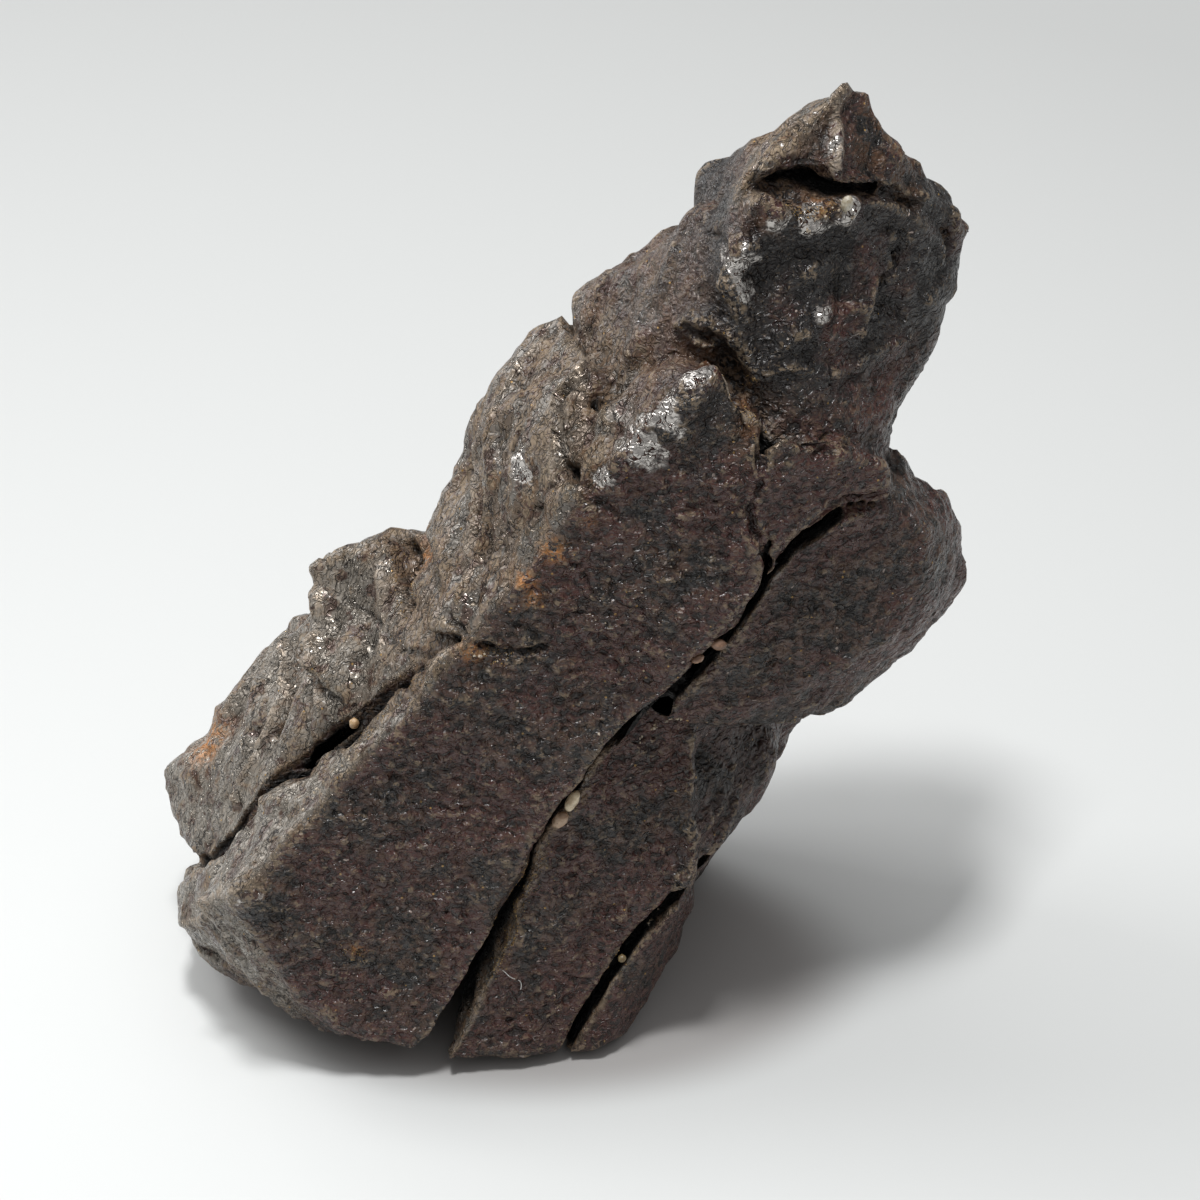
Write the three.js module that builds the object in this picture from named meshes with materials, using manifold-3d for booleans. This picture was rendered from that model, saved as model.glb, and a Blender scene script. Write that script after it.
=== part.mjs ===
// Chondrite meteorite, a small stone of cracked, desert-varnished slabs that stands on a flat
// underside, with the sand grains that are lodged in its cracks. Millimetres, +Z up, the origin
// on the ground under the middle of the stone's box, the broad flat face towards -Y.
import * as THREE from 'three';
import { ConvexGeometry } from 'three/addons/geometries/ConvexGeometry.js';
import { mergeVertices } from 'three/addons/utils/BufferGeometryUtils.js';
import Module from 'manifold-3d';

const wasm = await Module();
wasm.setup();

// ---- driving dimensions ----
const FACE_Y = -13.1;            // the broad main face, where it would meet the ground at x = 0
const FACE_TURN = 0.03;          // how much it turns away per mm to the right
const FACE_LEAN = 0.09;          // how much it leans back per mm of height
const STEP_Y = -11.8;            // the middle slab's face, a step behind the main face
const STEP_TURN = 0.2;
const STEP_LEAN = 0.1;
const BACK_Y = 13.25;            // the hindmost plane of the stone
const DIG = 9;                   // how far the slabs run down before the flat cut
const GROUND_Z = -1;             // the ground, in the heights the slabs are laid out in: the front
                                 // edge of the slabs, at 0, clears it
const OVERSHOOT = 1.5;           // how far a crack cutter stands out of the surface
const CRACK_TIP = 0.25;          // a crack's width at its bottom, as a share of its mouth
const SEAT_GAP = 0.1;            // clearance between a lodged grain and the stone

// ---- the two faces that most corners lie on ----
const onFace = (x, z, back = 0) => [x, FACE_Y + FACE_TURN * x + FACE_LEAN * z + back, z];
const onStep = (x, z, back = 0) => [x, STEP_Y + STEP_TURN * x + STEP_LEAN * z + back, z];
const onBack = (x, z, front = 0) => [x, BACK_Y - front, z];

// ---- solids ----
const vectors = (points) => points.map(([x, y, z]) => new THREE.Vector3(x, y, z));

// A closed geometry as a manifold solid.
function solidOf(geometry) {
  geometry.deleteAttribute('normal');
  geometry.deleteAttribute('uv');
  const merged = mergeVertices(geometry, 1e-4);
  return new wasm.Manifold(new wasm.Mesh({
    numProp: 3,
    vertProperties: merged.attributes.position.array,
    triVerts: new Uint32Array(merged.index.array),
  }));
}

// The solid as a geometry with flat facets.
function geometryOf(solid) {
  const mesh = solid.getMesh();
  const geometry = new THREE.BufferGeometry();
  geometry.setAttribute('position', new THREE.BufferAttribute(mesh.vertProperties, 3));
  geometry.setIndex(new THREE.BufferAttribute(mesh.triVerts, 1));
  geometry.computeVertexNormals();
  return geometry;
}

const block = (...corners) => solidOf(new ConvexGeometry(vectors(corners)));
const union = (solids) => solids.reduce((whole, solid) => whole.add(solid));

// A scoop: a faceted ball, stretched to its radii, that leaves a hollow.
function scoop([x, y, z], [rx, ry, rz]) {
  const ball = new THREE.IcosahedronGeometry(1, 1);
  ball.scale(rx, ry, rz);
  ball.translate(x, y, z);
  return solidOf(ball);
}

// A crack: wedges from point to point of its route along the surface. Each stop is
// [point, mouth width, depth], and the crack goes down along `inward`, narrowing to its tip.
function crack(inward, stops) {
  const down = new THREE.Vector3(...inward).normalize();
  const rungs = stops.map(([point, width, depth], i) => {
    const [from] = stops[Math.max(i - 1, 0)];
    const [to] = stops[Math.min(i + 1, stops.length - 1)];
    const along = new THREE.Vector3(...to).sub(new THREE.Vector3(...from)).normalize();
    const across = new THREE.Vector3().crossVectors(along, down).normalize();
    const mouth = new THREE.Vector3(...point).addScaledVector(down, -OVERSHOOT);
    const tip = new THREE.Vector3(...point).addScaledVector(down, depth);
    return [
      mouth.clone().addScaledVector(across, width / 2),
      mouth.clone().addScaledVector(across, -width / 2),
      tip.clone().addScaledVector(across, width * CRACK_TIP / 2),
      tip.clone().addScaledVector(across, -width * CRACK_TIP / 2),
    ];
  });
  const wedges = rungs.slice(1).map((rung, i) => solidOf(new ConvexGeometry([...rungs[i], ...rung])));
  return union(wedges);
}

// ---- the stone's slabs and lobes, overlapping so that they join in one solid ----
const mainSlabLower = block(
  // the broad face: the foot, the left edge up the ridge, then down along the main crack
  onFace(-7, 2.5), onFace(-8.5, 1.5), onFace(-12.5, 2.5), onFace(-15.5, 5.5), onFace(-17, 8.5),
  onFace(-18.5, 12), onFace(-15, 17), onFace(-11.5, 21), onFace(-6.5, 26.5), onFace(-4.5, 29.5),
  onFace(2.5, 24), onFace(1.5, 20.5), onFace(-1, 16),
  // the bevelled left flank, down to the corner that clears the ground
  [-22.5, -4, 5.5], [-23, -4.5, 4], [-21.5, -4.5, 8], [-18, -7, 13.5], [-12.5, -7, 19.5],
  [-8.5, -7, 23], [-21.5, -5.5, 2], [-19.5, -7, 2], [-15.5, -10, 0.5],
  [-22, -3.5, 7.5],
  // the inside, and the underside below the cut
  [-22.5, 4, 0.5], [-19, 8, -3], [-8, 2, -7.5], [0.5, 2, 11.5],
);
const mainSlabUpper = block(
  onFace(-4.5, 29.5), onFace(-6.5, 26.5), onFace(-7.5, 21.5), onFace(2.5, 39.5), onFace(5.5, 44),
  onFace(10.5, 44), onFace(12, 39.5), onFace(12, 34.5), onFace(11.5, 32.5), onFace(8, 27.5),
  onFace(3.5, 22.5), onFace(-1, 16),
  [5, 3, 19.5], [11, 3, 29.5], [2.5, 0, 14.5],
);
const nose = block(
  // the blunt upper end of the main slab, standing proud of the block above it
  onFace(5.5, 44), onFace(7, 45.5, 0.5), onFace(9, 45.5, 0.5), onFace(11, 43.5), onFace(11.5, 41.5),
  onFace(7, 39), [4, -5, 43], [6.5, -5, 44.5], [9.5, -5.5, 44], [6, 2, 40], [11, 2, 38],
);
const upperFlank = block(
  // the pale bevel between the ridge and the flank plates
  onFace(-4.5, 29.5), onFace(2.5, 39.5), onFace(5.5, 44), onFace(7, 45.5, 0.5),
  [-7, -8.5, 28], [-6.5, -7, 29.5], [-2, -7.5, 35], [1, -7.5, 38.5], [2.5, -5.5, 42],
  [4, -5, 43], [6.5, -5, 44.5], [0.5, 3, 25.5], [5, 3, 35.5],
);
const middleSlab = block(
  onStep(-6.5, 0.5), onStep(-5.5, -2), onStep(0.5, -2), onStep(1, 1), onStep(2.5, 4.5), onStep(5, 8),
  onStep(7.5, 9.5), onStep(8, 14.5), onStep(8, 22), onStep(6, 23), onStep(2.5, 21), onStep(-2, 14.5),
  [8, 2, 16], [2.5, 4, -DIG], [-5, 4, -DIG], [5, 6, -3],
);
const smallSlab = block(
  [1, -12, -2], [2, -12, -2], [3.5, -11, 0], [5, -9, 0], [6.5, -6, 1], [7.5, -4, 2], [8, -3, 3.5],
  [9, -1, 5.5], [9, -1, 6.5], [8, -8.5, 10.5], [7.5, -8.5, 8.5], [5, -9.5, 6.5], [3.5, -10.5, 4],
  [2.5, 3, -DIG], [6.5, 5, -2],
);
const underLobe = block(
  // the dark undercut below the right lobe
  [8, -8, 22], [8, -9, 14.5], [8, -9, 11], [8.5, -5.5, 10], [11, -3, 10], [12, -1.5, 10],
  [13, -0.5, 11.5], [13.5, 0.5, 12], [13.5, 1, 13.5], [14, 3, 14], [8, 2, 16], [9, 8, 3.5],
  [5.5, 8, -1], [12, 8, 8.5],
);
const rightLobe = block(
  // the face that carries on from the middle slab, out to the rounded right end
  [6, -9.5, 22.5], [6.5, -9, 25], [11, -8.5, 30], [12, -8, 32.5], [16.5, -6.5, 36],
  [19, -3.5, 35.5], [21.5, -3.5, 32], [21.5, -3.5, 27], [19, -5.5, 25.5], [9.5, -8.5, 21.5],
  // the outer edge, from the crack above down to the underside
  [19.5, 1.5, 33.5], [20.5, 2, 33], [21.5, 2.5, 32], [23, 2, 30], [23.5, 2, 28.5], [24, 2, 26],
  [24, 1.5, 24.5], [23, 0.5, 23], [21.5, -0.5, 21.5], [19, -2, 21], [17.5, -2.5, 19.5],
  [16, -3, 19], [14, -4, 19],
  [21, 9, 24.5], [21, 9, 18.5], [15, 8, 15.5], [14, 4, 13.5],
);
const upperPlate = block(
  // the thin plate between the main crack and the upper block
  [12, -9, 41], [13, -8.5, 41.5], [16, -7, 40.5], [18.5, -5, 38], [19, -5.5, 37.5],
  [19, -5.5, 35.5], [16.5, -7, 36], [15, -8, 35.5], [12, -9.5, 33], [11.5, -9.5, 35.5],
  [11.5, -9, 39],
  [19.5, 6, 30.5], [14.5, 6, 26.5], [13, 4, 26],
);
const upperSeat = block(
  // the smooth lower facet of the upper block, which comes down to the plate
  [12, -6, 43.5], [14.5, -5.5, 43.5], [18, -2, 42], [19.5, -0.5, 41],
  [12, -7.5, 41], [14, -7, 40.5], [17, -5, 39.5], [19, -2.5, 39], [19.5, 0, 39],
  [10.5, -7.5, 38], [13, -6.5, 37], [17.5, -4, 36], [19, -1, 35], [12, 2, 34], [19, 4, 34],
);
const upperBlock = block(
  // the front edge and the rough face, down to the smooth lower facet
  [11.5, -4.5, 55], [10.5, -5, 52], [9.5, -6, 48.5], [10, -6, 46], [12.5, -7, 41],
  [14, -6.5, 40.5], [18.5, -2, 37], [19, -1, 38.5], [20.5, 0.5, 39.5], [21.5, 2, 40.5],
  [22, 2.5, 41.5], [23, 3.5, 45.5], [23.5, 5, 45.5], [21, 1.5, 49], [19.5, 0, 51.5],
  [16.5, -2.5, 53], [13.5, -4, 54],
  // the left shoulder
  [8, 3.5, 48], [6, 4.5, 47], [4.5, 4.5, 46], [2.5, 3.5, 44], [1.5, 2.5, 43], [1, 2, 41.5],
  [2.5, -3.5, 41], [5, -4.5, 42.5], [23.5, 5.5, 46],
  [22, 9, 38], [19.5, 9, 31], [8.5, 10, 39], [4, 9, 37.5], [22.5, 7, 44], [10, 9, 44],
);
const cap = block(
  // the pointed top, over the cap crack
  [10.5, -3.5, 55], [12, -3.5, 55], [14, -3.5, 54.5], [16, -3, 54], [19.5, 0.5, 52],
  [21, 2.5, 50], [23, 4.5, 47], [24, 6, 46], [23.5, 6, 46.5], [22.5, 5.5, 48.5],
  [21, 4, 50.5], [18, 2, 56], [17, 1.5, 57.5], [16, 1, 58], [15.5, -1.5, 56],
  [15.5, -2.5, 55], [13, 2.5, 55], [11.5, 3, 53.5], [9.5, 3.5, 51.5], [8.5, 4, 49.5],
  [8, 4, 48.5], [9, -2, 50.5], [9.5, -4, 52.5], [10, 10, 44.5], [12, 11, 44.5], [22.5, 10.5, 43],
  [17.5, 8, 51.5],
);
const flankPlate = block(
  // the plate high on the left, with its narrow pale outer face
  [-5, 1, 36.5], [-4.5, 1.5, 37.5], [-3, 2, 39.5], [-1.5, 2.5, 40.5], [1, 3, 41.5],
  [2.5, -4, 43], [0.5, -4.5, 41.5], [1, -8, 39], [-2, -8, 35.5], [-3.5, -7.5, 33.5],
  [-3.5, -5.5, 35.5], [-3.5, -4, 37], [-4, -2, 39], [-5, 0.5, 34.5],
  [-4.5, 10, 27], [0.5, 11, 34], [4, 8, 35], [-2, 4, 29],
);
const flankNeck = block(
  [-7.5, 0, 30], [-6.5, 0, 31.5], [-6, 0.5, 33], [-5, 1, 34.5], [-3.5, -2.5, 36],
  [-3.5, -4.5, 35], [-3.5, -7, 33.5], [-1, -9.5, 34], [-4, -10.5, 29.5], [-5, -9, 29.5],
  [-6, -7, 30], [-7, -3.5, 31], [-7.5, 10, 21.5], [-4, 11, 26], [0.5, 2, 26],
);
const flankLobe = block(
  [-13, 1, 24.5], [-12.5, 2.5, 26], [-10.5, 2.5, 27], [-9.5, 2, 27.5], [-8.5, 1, 27.5],
  [-7.5, 0.5, 29.5], [-6, -5.5, 29], [-5, -8, 29], [-4.5, -9.5, 28.5], [-8.5, -7.5, 23.5],
  [-12.5, -7, 20], [-14, -6.5, 18.5], [-13.5, -2.5, 21.5], [-13.5, -1, 23],
  [-12.5, 11, 15.5], [-8.5, 11, 20], [-12, 8, 13],
);
const leftLobe = block(
  [-21, 3.5, 12.5], [-19.5, 4.5, 14], [-19, 5, 15], [-17.5, 5.5, 17.5], [-16, 6, 19.5],
  [-14, 5, 21], [-13, 3, 23], [-13.5, -0.5, 22.5], [-13.5, -2, 21], [-14, -6, 18],
  [-15.5, -6.5, 16.5], [-17, -6.5, 15.5], [-18.5, -6, 11.5], [-20, 9.5, 6], [-18.5, 11, 8.5],
  [-14, 11.5, 14],
);
const leftTip = block(
  // the low outer end of the flank, over the side crack
  [-22, -3, 8], [-22.5, -1.5, 7.5], [-23.5, 1, 8], [-24, 2, 9], [-24, 3, 10], [-22, 3.5, 11.5],
  [-21, 3.5, 12.5], [-17, -4.5, 16.5], [-17, -6.5, 15.5], [-18.5, -6, 11.5], [-20.5, -5, 9.5],
  [-21, 10, 4], [-22, 8, 3], [-16.5, 8, 8.5], [-18, 6, 2],
);

// ---- the back: two long slabs with a step between them, and a block behind the top ----
const backLeft = block(
  onBack(-18, 2, 2.5), onBack(-13, 11, 1), onBack(-5, 24, 1.5), onBack(2, 33.5, 3.5),
  onBack(8.5, 40, 4.5), onBack(11, 36, 2.5), onBack(2, 20), onBack(-4.5, 6), onBack(-8, -DIG, 1),
  onBack(-16.5, -DIG, 2.5), [-20.5, 8, 3.5], [-19, 8, -DIG], [-12, 2, 16], [-4, 2, 26],
  [5, 0, 36], [-5, -8, 12], [-10, -6, -DIG], [4, -4, 20],
);
const backRight = block(
  onBack(2, -DIG, 3), onBack(-8, -DIG, 2), onBack(2, 20, 1.5), onBack(11, 36, 3),
  onBack(17, 33.5, 4), onBack(19.5, 28.5, 4.5), onBack(19, 17.5, 4), onBack(11, 5, 4.5),
  onBack(7, -4, 5), onBack(8, 16, 0.5), [5, 6, -DIG], [12, 2, 12], [22, 5, 27], [19, 2, 32],
  [4, -5, 10], [4, -4, 24],
);
const backUpper = block(
  onBack(9, 43, 4), onBack(12, 44.5, 3), onBack(19.5, 41, 3.5), onBack(20, 35.5, 3.5),
  onBack(13, 32, 2), onBack(5, 37, 3.5), [8.5, 5, 44.5], [21.5, 5, 42], [18.5, 2, 34], [8, 0, 36],
);

const slabs = union([
  mainSlabLower, mainSlabUpper, nose, upperFlank, middleSlab, smallSlab, underLobe, rightLobe,
  upperPlate, upperSeat, upperBlock, cap, flankPlate, flankNeck, flankLobe, leftLobe, leftTip,
  backLeft, backRight, backUpper,
]);

// ---- the cracks ----
const INTO_FACE = [0, 1, 0];
const INTO_FLANK = [0.73, 0.1, -0.69];
const INTO_CAP = [0.1, 1, -0.15];
const INTO_BACK = [0, -1, 0];

const cracks = [
  // the main crack, from the foot up beside the proud main slab
  crack(INTO_FACE, [
    [onFace(-9, -2), 2, 5], [onFace(-7, 1.5), 1.6, 5], [onFace(-5, 5.5), 1.2, 5],
    [onFace(-3, 9.5), 1.2, 5], [onFace(-1.5, 13), 1.1, 4.5], [onFace(-0.5, 16), 1.2, 4.5],
    [onFace(2, 19.5), 1.4, 4.5], [onFace(3.5, 22), 1.5, 4.5], [onFace(6, 24.5), 1.1, 4],
    [[8.5, -9.5, 26.5], 1.1, 3.5], [[10.5, -9, 28.5], 0.9, 3.5], [[11.5, -9, 30.5], 0.9, 4],
    [[12.5, -8.5, 32.5], 1, 4], [[13.5, -8, 33.5], 0.8, 4], [[15.5, -7, 35], 0.7, 4],
    [[16.5, -6.5, 35.5], 0.6, 3.5], [[19.5, -5, 34.5], 0.5, 3],
  ]),
  // the left edge of the thin plate
  crack(INTO_FACE, [
    [onFace(12, 33, 0.5), 0.7, 3.5], [onFace(12, 35, 0.5), 0.5, 2.5], [onFace(12, 38, 0.5), 0.4, 2],
    [onFace(12.5, 41, 1), 0.4, 2],
  ]),
  // the top edge of the thin plate
  crack(INTO_FACE, [
    [onFace(12.5, 41, 1), 0.4, 3], [onFace(14.5, 40, 2), 0.5, 3.5], [onFace(16, 40, 3), 0.5, 3.5],
    [onFace(18, 38.5, 4), 0.5, 4], [onFace(19.5, 38, 6), 0.8, 5],
  ]),
  // between the middle and the small slab, ending in a hole
  crack(INTO_FACE, [
    [onStep(-0.5, -2), 1, 4], [onStep(1.5, 1.5), 0.9, 4], [onStep(3, 4.5), 0.7, 4],
    [onStep(5, 7.5), 1, 4], [onStep(7, 9.5), 1.2, 4], [onStep(9, 11.5, 0.5), 1, 3.5],
  ]),
  // the side crack, along the left flank
  crack(INTO_FLANK, [
    [[-22.5, -3.5, 7], 0.3, 1], [[-21.5, -4, 8], 0.4, 2], [[-20.5, -5, 9], 0.6, 3.5],
    [[-19, -6, 11], 0.8, 4], [[-18, -6.5, 13.5], 0.8, 4], [[-16.5, -6.5, 16], 1.1, 4.5],
    [[-14.5, -6.5, 17.5], 0.7, 4], [[-13, -7, 19.5], 1.1, 4.5], [[-10.5, -7.5, 21.5], 1.3, 5],
    [[-9, -7.5, 23], 0.7, 3.5], [[-7, -8, 25.5], 0.5, 2.5], [[-5, -8.5, 28], 0.4, 1.5],
  ]),
  // the cap crack, round the front of the cap
  crack(INTO_CAP, [
    [[10, -3.5, 54], 0.3, 1.5], [[12, -3.5, 54.5], 0.8, 4], [[14.5, -3.5, 54], 1.3, 5],
    [[16.5, -3, 53.5], 0.9, 4], [[18, -1, 52.5], 0.6, 4], [[19.5, 0.5, 51.5], 0.5, 4],
    [[21.5, 2.5, 49], 0.5, 3], [[22.5, 3.5, 47], 0.5, 2],
  ]),
  // the cap crack again, round the back
  crack(INTO_BACK, [
    [[23, 9, 43], 0.5, 1.5], [[20, 11, 43.5], 0.8, 3.5], [[16, 11, 45.5], 0.6, 3],
    [[12, 11, 46], 0.6, 3], [[8, 9, 47], 0.5, 2.5],
  ]),
  // the step between the two long slabs of the back
  crack(INTO_BACK, [
    [onBack(-9.5, -3), 1.4, 3.5], [onBack(-5, 5.5), 1.1, 3.5], [onBack(-1.5, 11), 1, 4],
    [onBack(1.5, 20), 1.3, 4], [onBack(5, 26.5), 0.8, 3.5], [onBack(8, 31), 0.7, 3],
    [onBack(11.5, 38, 0.5), 0.5, 3],
  ]),
];

// ---- hollows where the stone has lost chips ----
const hollows = [
  scoop([14, -4.5, 54.5], [1.9, 2.5, 0.8]),      // the wide mouth of the cap crack
  scoop([12.5, -8.5, 45], [1.8, 2.2, 3.2]),      // the recess beside the nose
  scoop([8.5, -10, 10.5], [1, 2.5, 1]),          // the hole at the end of the small crack
  scoop([-9, -1, 29], [0.8, 2.5, 1.6]),          // the notch in the flank's crest
];

// ---- lodged sand grains: [name, centre, half-lengths, lean in degrees] ----
const grains = [
  ['sand_grain_white', [1.1, -10.9, 18.2], [0.36, 0.35, 0.8], -25],
  ['sand_grain_pink', [0.4, -11, 16.9], [0.42, 0.35, 0.65], -35],
  ['sand_grain_rim_upper', [9.4, -10, 28.6], [0.45, 0.3, 0.35], 10],
  ['sand_grain_rim_lower', [8.2, -10.1, 27.7], [0.4, 0.3, 0.25], 30],
  ['sand_grain_cap', [16.1, -3.4, 53.3], [0.5, 0.35, 0.35], 80],
  ['sand_grain_side', [-11.5, -7.6, 21.3], [0.3, 0.3, 0.35], 0],
  ['sand_grain_small_crack', [4, -10.6, 6.2], [0.25, 0.25, 0.25], 0],
];
const GRAIN_ROUGHNESS = 0.12;    // how far a grain's corners stray from an ellipsoid

function grainGeometry([, centre, [rx, ry, rz], lean], clearance = 0) {
  const pebble = new THREE.IcosahedronGeometry(1, 1);
  const corner = new THREE.Vector3();
  const position = pebble.attributes.position;
  for (let i = 0; i < position.count; i += 1) {
    corner.fromBufferAttribute(position, i);
    const stray = Math.sin(5 * corner.x + 3 * corner.y) * Math.cos(4 * corner.z + rx * 10);
    corner.multiplyScalar(1 + GRAIN_ROUGHNESS * stray);
    position.setXYZ(i, corner.x, corner.y, corner.z);
  }
  pebble.scale(rx + clearance, ry + clearance, rz + clearance);
  pebble.rotateY(THREE.MathUtils.degToRad(-lean));
  pebble.translate(...centre);
  return pebble;
}

// the underside, which rises from the ground towards the front edge
const undercut = block(
  [-25, -9.3, GROUND_Z], [12, -9.3, GROUND_Z], [-25, -15.3, GROUND_Z], [12, -15.3, GROUND_Z],
  [-25, -15.3, 1], [12, -15.3, 1],
);

// ---- the stone: slabs, less cracks, hollows, seats for the grains and all below the ground ----
const ground = new THREE.BoxGeometry(100, 100, 40);
ground.translate(0, 0, GROUND_Z - 20);
const seats = grains.map((grain) => solidOf(grainGeometry(grain, SEAT_GAP)));
const broken = slabs.subtract(union([...cracks, ...hollows, ...seats, undercut, solidOf(ground)]));

// slivers that the cracks cut free are dropped
const stone = broken.decompose().reduce((main, piece) => (piece.volume() > main.volume() ? piece : main));

// ---- the object ----
const crust = new THREE.MeshStandardMaterial({ color: 0x4a413d, roughness: 0.55, metalness: 0.05 });
const quartz = new THREE.MeshStandardMaterial({ color: 0xcdbb9a, roughness: 0.35, metalness: 0 });

function part(name, geometry, material) {
  geometry.translate(0, 0, -GROUND_Z);
  const mesh = new THREE.Mesh(geometry, material);
  mesh.name = name;
  return mesh;
}

const meteorite = new THREE.Group();
meteorite.add(part('stone', geometryOf(stone), crust));
for (const grain of grains) {
  meteorite.add(part(grain[0], geometryOf(solidOf(grainGeometry(grain))), quartz));
}

export default meteorite;
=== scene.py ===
import bmesh
import bpy
import math
import numpy as np
from itertools import product
from mathutils import Matrix, Quaternion, Vector
from mathutils.bvhtree import BVHTree


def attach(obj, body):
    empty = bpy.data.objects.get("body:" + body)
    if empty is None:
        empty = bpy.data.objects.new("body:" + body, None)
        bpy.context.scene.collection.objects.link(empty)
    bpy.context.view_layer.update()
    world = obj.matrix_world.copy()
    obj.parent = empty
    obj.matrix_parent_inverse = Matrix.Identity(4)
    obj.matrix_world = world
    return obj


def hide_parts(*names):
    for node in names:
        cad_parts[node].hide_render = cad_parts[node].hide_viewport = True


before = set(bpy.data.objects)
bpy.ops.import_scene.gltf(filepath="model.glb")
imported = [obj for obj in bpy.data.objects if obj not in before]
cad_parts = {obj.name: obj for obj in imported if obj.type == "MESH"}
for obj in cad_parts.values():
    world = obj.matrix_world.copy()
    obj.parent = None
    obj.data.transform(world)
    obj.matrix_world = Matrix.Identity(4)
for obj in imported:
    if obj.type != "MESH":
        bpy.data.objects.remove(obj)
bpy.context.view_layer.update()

# ---- the stone ----
# One natural piece: a stony meteorite that shock cracks have split into slabs, which still hold
# together inside. The solid's plain facets are worn round here, and the crust gets its hollows,
# folds, pits and hair cracks. Lengths in this section are in millimetres until the mesh is written.
MM = 0.001
VOXEL = 0.2
EDGE_WEAR_ROUNDS = 10
TRIANGLE_LIMIT = 196000
WELD_GAP = 0.001
FACING_ROUNDS = 25
BROAD_ROUNDS = 40
FINE_ROUNDS = 5
CREST_WIDTH = 0.35
SIDE_CRACK_WIDTH = 0.5
LIP_BLEND = 0.4
PLATE_SLOPE = 2.5
PLATE_FOOT = 0.5
GROUND_BAND = 0.15
SHELTER_REACH = 3.5
SHELTER_RAYS = 10
SHELTER_SPREAD = 0.95
SHELTER_LIFT = 0.08
RELIEF_DEPTH = 0.5


def new_object(name, data):
    piece = bpy.data.objects.new(name, data)
    bpy.context.scene.collection.objects.link(piece)
    return piece


def bake_modifiers(piece):
    view = bpy.context.evaluated_depsgraph_get()
    view.update()
    piece.data = bpy.data.meshes.new_from_object(piece.evaluated_get(view))
    piece.modifiers.clear()


def weld(mesh, plugs=()):
    """Joins the mesh's corners that are in one place, and adds the plugs to it as balls."""
    shell = bmesh.new()
    shell.from_mesh(mesh)
    bmesh.ops.remove_doubles(shell, verts=shell.verts, dist=WELD_GAP * MM)
    for place, radius in plugs:
        bmesh.ops.create_icosphere(shell, subdivisions=3, radius=radius * MM,
                                   matrix=Matrix.Translation(Vector(place) * MM))
    shell.to_mesh(mesh)
    shell.free()


def voxel_copy(source, name, voxel, plugs):
    """A new mesh object with the outer skin of source and its plugs, in even small faces."""
    piece = new_object(name, source.data.copy())
    weld(piece.data, plugs)
    remesh = piece.modifiers.new("remesh", "REMESH")
    remesh.mode = "VOXEL"
    remesh.voxel_size = voxel * MM
    bake_modifiers(piece)
    return piece


def points_of(mesh):
    points = np.empty(len(mesh.vertices) * 3, np.float32)
    mesh.vertices.foreach_get("co", points)
    return points.reshape(-1, 3).astype(float) / MM


def edges_of(mesh):
    ends = np.empty(len(mesh.edges) * 2, np.int32)
    mesh.edges.foreach_get("vertices", ends)
    return ends.reshape(-1, 2)


def write_points(mesh, points):
    mesh.vertices.foreach_set("co", (points * MM).astype(np.float32).ravel())
    mesh.update()


def normals_of(mesh):
    normals = np.empty(len(mesh.vertices) * 3, np.float32)
    mesh.vertex_normals.foreach_get("vector", normals)
    return normals.reshape(-1, 3).astype(float)


def relaxed(values, edges, rounds):
    """Each vertex's values moved halfway to the mean of its neighbours', round after round."""
    near, far = edges.T
    shape = values.shape
    values = values.reshape(len(values), -1)
    count = np.bincount(edges.ravel(), minlength=len(values))[:, None]
    for _ in range(rounds):
        mean = np.empty_like(values)
        for i in range(values.shape[1]):
            mean[:, i] = np.bincount(near, values[far, i], len(values))
            mean[:, i] += np.bincount(far, values[near, i], len(values))
        values = values + 0.5 * (mean / count - values)
    return values.reshape(shape)


def smooth_noise(points, size, seed):
    """Rolling noise from about -1 to 1, with lumps about size across."""
    slopes = np.random.default_rng(seed).normal(size=(16, 16, 16, 3))
    slopes /= np.linalg.norm(slopes, axis=-1, keepdims=True)
    spot = points / size + seed * 3.7
    cell = np.floor(spot).astype(int)
    inside = spot - cell
    fade = inside ** 3 * (inside * (inside * 6 - 15) + 10)
    total = np.zeros(len(points))
    for corner in product((0, 1), repeat=3):
        share = np.prod(np.where(corner, fade, 1 - fade), axis=1)
        slope = slopes[tuple(((cell + corner) % 16).T)]
        total += share * np.einsum("ij,ij->i", slope, inside - corner)
    return total * 1.6


def noise_vectors(points, size, seed):
    return np.stack([smooth_noise(points, size, seed + i) for i in range(3)], axis=1)


def pit_noise(points, size, seed):
    """From 0 in the middle of each pit to about 1 on the sharp rims between the pits."""
    centres = np.random.default_rng(seed).uniform(0.1, 0.9, size=(16, 16, 16, 3))
    spot = points / size + seed * 1.3
    cell = np.floor(spot).astype(int)
    inside = spot - cell
    best = np.full(len(points), 9.0)
    for step in product((-1, 0, 1), repeat=3):
        centre = centres[tuple(((cell + step) % 16).T)] + step
        best = np.minimum(best, np.sum((inside - centre) ** 2, axis=1))
    return best


def ledges(values, step):
    """Values gathered into flat steps with a short slope between them."""
    level = values / step
    floor = np.floor(level)
    slope = np.clip((level - floor - 0.3) / 0.4, 0, 1)
    return step * (floor + slope * slope * (3 - 2 * slope) - 0.5)


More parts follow.
